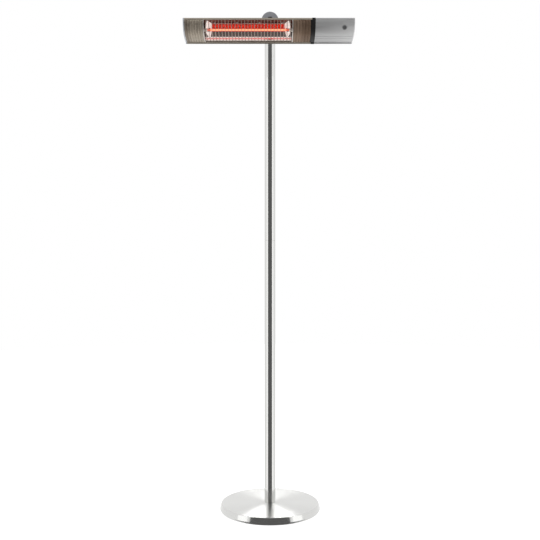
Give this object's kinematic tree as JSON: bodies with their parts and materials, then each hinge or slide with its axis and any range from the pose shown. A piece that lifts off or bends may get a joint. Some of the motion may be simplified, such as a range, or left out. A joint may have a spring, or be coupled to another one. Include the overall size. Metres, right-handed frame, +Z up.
{
  "type": "patio heater",
  "caption": "Free-standing electric infrared patio heater: bull-nosed bar head with wire guard, tilting on a knuckle atop a round pole with a weighted disc foot.",
  "frame": {"origin": "on the floor, under the axis of the pole", "axes": "+Z up along the pole, the lamp faces -Y, +X to the right of someone who faces the lamp"},
  "size_m": [0.684, 0.4166, 2.083],
  "materials": {
    "stainless": "brushed stainless steel",
    "grey_casting": "satin grey paint on an aluminium casting",
    "champagne_aluminium": "satin champagne anodised",
    "silver_aluminium": "satin silver anodised",
    "grey_aluminium": "satin grey",
    "black_plastic": "moulded, satin black",
    "button_black": "moulded, dark grey",
    "bezel_grey": "moulded, mid grey",
    "bright_trim": "bright plated",
    "guard_wire": "bright plated wire",
    "polished_reflector": "polished",
    "ruby_quartz": "clear ruby quartz",
    "glowing_filament": "hot tungsten coil",
    "white_ceramic": "unglazed white ceramic",
    "plated_steel": "zinc plated",
    "arm_casting": "as cast",
    "fibre": "pressed fibre",
    "knob_plastic": "moulded, satin black",
    "iron": "as cast",
    "foot_rubber": "moulded",
    "lead_sleeve": "glass-fibre sleeve",
    "cutout_plastic": "moulded",
    "board": "laminate",
    "nylon": "moulded, natural",
    "component_plastic": "moulded",
    "gland_plastic": "moulded, black"
  },
  "bodies": {
    "stand": {"base_cover": "stainless", "base_ballast": "iron", "base_plate": "plated_steel", "base_feet": "foot_rubber", "base_screws": "plated_steel", "centre_bolt": "plated_steel", "centre_washer": "plated_steel", "pole_spigot": "plated_steel", "spigot_screws": "plated_steel", "lower_pole": "stainless", "pole_coupler": "plated_steel", "coupler_screws": "plated_steel", "upper_pole": "stainless", "knuckle": "grey_casting", "knuckle_screws": "plated_steel", "friction_washers": "fibre", "clamp_nut": "plated_steel"},
    "head": {"heater_housing": "champagne_aluminium", "ribbed_panel_left": "champagne_aluminium", "ribbed_panel_right": "champagne_aluminium", "control_housing": "silver_aluminium", "control_face": "silver_aluminium", "right_end_cap": "silver_aluminium", "left_end_cap": "grey_aluminium", "heat_break": "black_plastic", "button_bezel": "bezel_grey", "window_trim_left": "bright_trim", "window_trim_right": "bright_trim", "wire_guard": "guard_wire", "reflector": "polished_reflector", "reflector_end_left": "polished_reflector", "reflector_end_right": "polished_reflector", "lamp_tube": "ruby_quartz", "lamp_filament": "glowing_filament", "lamp_caps": "white_ceramic", "lamp_holders": "plated_steel", "reflector_spacers": "plated_steel", "arm_screws": "plated_steel", "end_cap_screws": "plated_steel", "joint_pins": "plated_steel", "tilt_arm": "arm_casting", "lamp_leads": "lead_sleeve", "thermal_cutout": "cutout_plastic", "control_board": "board", "board_posts": "nylon", "terminal_block": "nylon", "transformer": "component_plastic", "relay": "component_plastic", "tip_over_switch": "component_plastic", "button_switch": "component_plastic", "cable_gland": "gland_plastic", "gland_nut": "gland_plastic", "gland_locknut": "gland_plastic"},
    "clamp": {"tilt_bolt": "plated_steel", "tilt_knob": "knob_plastic"},
    "button": {"power_button": "button_black"}
  },
  "joints": [
    {"name": "head_tilt", "type": "hinge", "parent": "stand", "child": "head", "pos_m": [0, 0, 2.034], "axis": [1, 0, 0], "range_deg": [-30, 12]},
    {"name": "clamp_turn", "type": "hinge", "parent": "stand", "child": "clamp", "pos_m": [0, 0, 2.034], "axis": [1, 0, 0], "range_deg": [-180, 180]},
    {"name": "button_press", "type": "slide", "parent": "head", "child": "button", "axis": [0, 0.8387, 0.5446], "range_m": [0, 0.002], "stiffness_N_per_m": 400}
  ]
}
